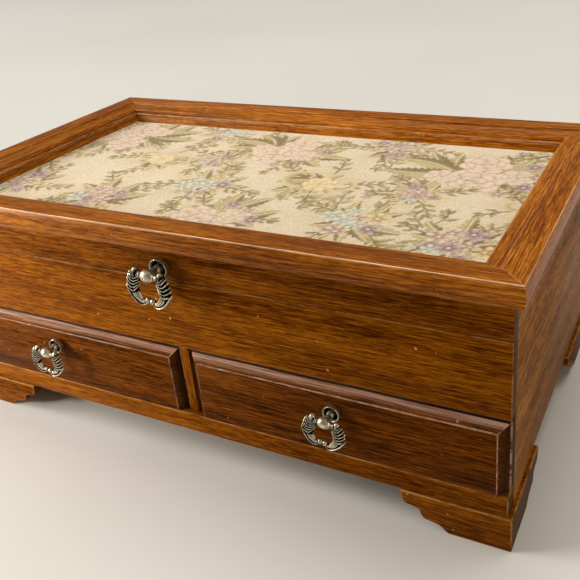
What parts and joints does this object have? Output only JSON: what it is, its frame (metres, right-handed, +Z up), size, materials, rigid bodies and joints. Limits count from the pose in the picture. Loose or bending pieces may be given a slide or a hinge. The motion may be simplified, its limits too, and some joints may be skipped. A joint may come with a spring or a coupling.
{
  "type": "vanity and jewellery box",
  "caption": "Low wooden vanity and jewellery box with a hinged mirrored lid, a framed tapestry top, drawers side by side, cast ring pulls and scalloped bracket feet.",
  "frame": {"origin": "on the surface that the box stands on, at the middle of the whole box's extent in X and Y, pulls included", "axes": "+Z up, +X to the right seen from the front, +Y to the back; the drawers and pulls face -Y"},
  "size_m": [0.333, 0.1964, 0.1339],
  "materials": {
    "frame_wood": "clear varnish on warm reddish brown hardwood, semi-gloss, rubbed on the edges",
    "case_wood": "clear varnish on olive brown hardwood, semi-gloss",
    "drawer_wood": "clear varnish on dark red brown hardwood, semi-gloss",
    "inner_board": "plain board, unvarnished",
    "felt": "short felt pile",
    "tapestry": "woven floral tapestry, matt",
    "mirror": "silvered plain glass",
    "pull_metal": "antiqued casting, bright on the high places and black in the recesses",
    "hinge_brass": "plain brass plate and wire"
  },
  "bodies": {
    "case": {"left_side": "case_wood", "right_side": "case_wood", "front_panel": "frame_wood", "front_rail": "frame_wood", "back_panel": "case_wood", "divider": "frame_wood", "bottom_panel": "inner_board", "compartment_floor": "inner_board", "compartment_lining": "felt", "partition_long": "frame_wood", "partition_cross": "frame_wood", "ring_rolls": "felt", "foot_front_left": "frame_wood", "foot_front_right": "frame_wood", "foot_back_left": "frame_wood", "foot_back_right": "frame_wood", "hinge_leaf_case_left": "hinge_brass", "hinge_leaf_case_right": "hinge_brass", "hinge_pins": "hinge_brass", "hinge_screws_case": "hinge_brass"},
    "lid": {"lid_rail_front": "frame_wood", "lid_rail_back": "frame_wood", "lid_rail_left": "frame_wood", "lid_rail_right": "frame_wood", "apron_front": "frame_wood", "apron_back": "case_wood", "apron_left": "case_wood", "apron_right": "case_wood", "lid_board": "inner_board", "tapestry": "tapestry", "mirror": "mirror", "mirror_beads": "drawer_wood", "hinge_leaf_lid_left": "hinge_brass", "hinge_leaf_lid_right": "hinge_brass", "hinge_screws_lid": "hinge_brass", "lid_pull_rosette": "pull_metal", "lid_pull_post": "pull_metal", "lid_pull_screw": "hinge_brass"},
    "drawer_left": {"drawer_left_front": "drawer_wood", "drawer_left_side_outer": "inner_board", "drawer_left_side_inner": "inner_board", "drawer_left_back": "inner_board", "drawer_left_bottom": "inner_board", "drawer_left_lining": "felt", "drawer_left_rosette": "pull_metal", "drawer_left_post": "pull_metal", "drawer_left_screw": "hinge_brass"},
    "drawer_right": {"drawer_right_front": "drawer_wood", "drawer_right_side_outer": "inner_board", "drawer_right_side_inner": "inner_board", "drawer_right_back": "inner_board", "drawer_right_bottom": "inner_board", "drawer_right_lining": "felt", "drawer_right_rosette": "pull_metal", "drawer_right_post": "pull_metal", "drawer_right_screw": "hinge_brass"},
    "lid_ring": {"lid_pull_ring": "pull_metal"},
    "drawer_left_pull_ring": {"drawer_left_ring": "pull_metal"},
    "drawer_right_pull_ring": {"drawer_right_ring": "pull_metal"}
  },
  "joints": [
    {"name": "lid_hinge", "type": "hinge", "parent": "case", "child": "lid", "pos_m": [0, 0.0848, 0.10315], "axis": [-1, 0, 0], "range_deg": [0, 98]},
    {"name": "drawer_left_slide", "type": "slide", "parent": "case", "child": "drawer_left", "axis": [0, -1, 0], "range_m": [0, 0.125]},
    {"name": "drawer_right_slide", "type": "slide", "parent": "case", "child": "drawer_right", "axis": [0, -1, 0], "range_m": [0, 0.125]},
    {"name": "lid_ring_swing", "type": "hinge", "parent": "lid", "child": "lid_ring", "pos_m": [-0.003, -0.09441, 0.1109], "axis": [-0.9969, 0, 0.0785], "range_deg": [-38, 170]},
    {"name": "drawer_left_ring_swing", "type": "hinge", "parent": "drawer_left", "child": "drawer_left_pull_ring", "pos_m": [-0.0816, -0.0956, 0.0531], "axis": [-0.9903, 0, 0.1392], "range_deg": [-38, 215]},
    {"name": "drawer_right_ring_swing", "type": "hinge", "parent": "drawer_right", "child": "drawer_right_pull_ring", "pos_m": [0.0816, -0.0956, 0.0531], "axis": [-0.9877, 0, 0.1564], "range_deg": [-38, 215]}
  ]
}
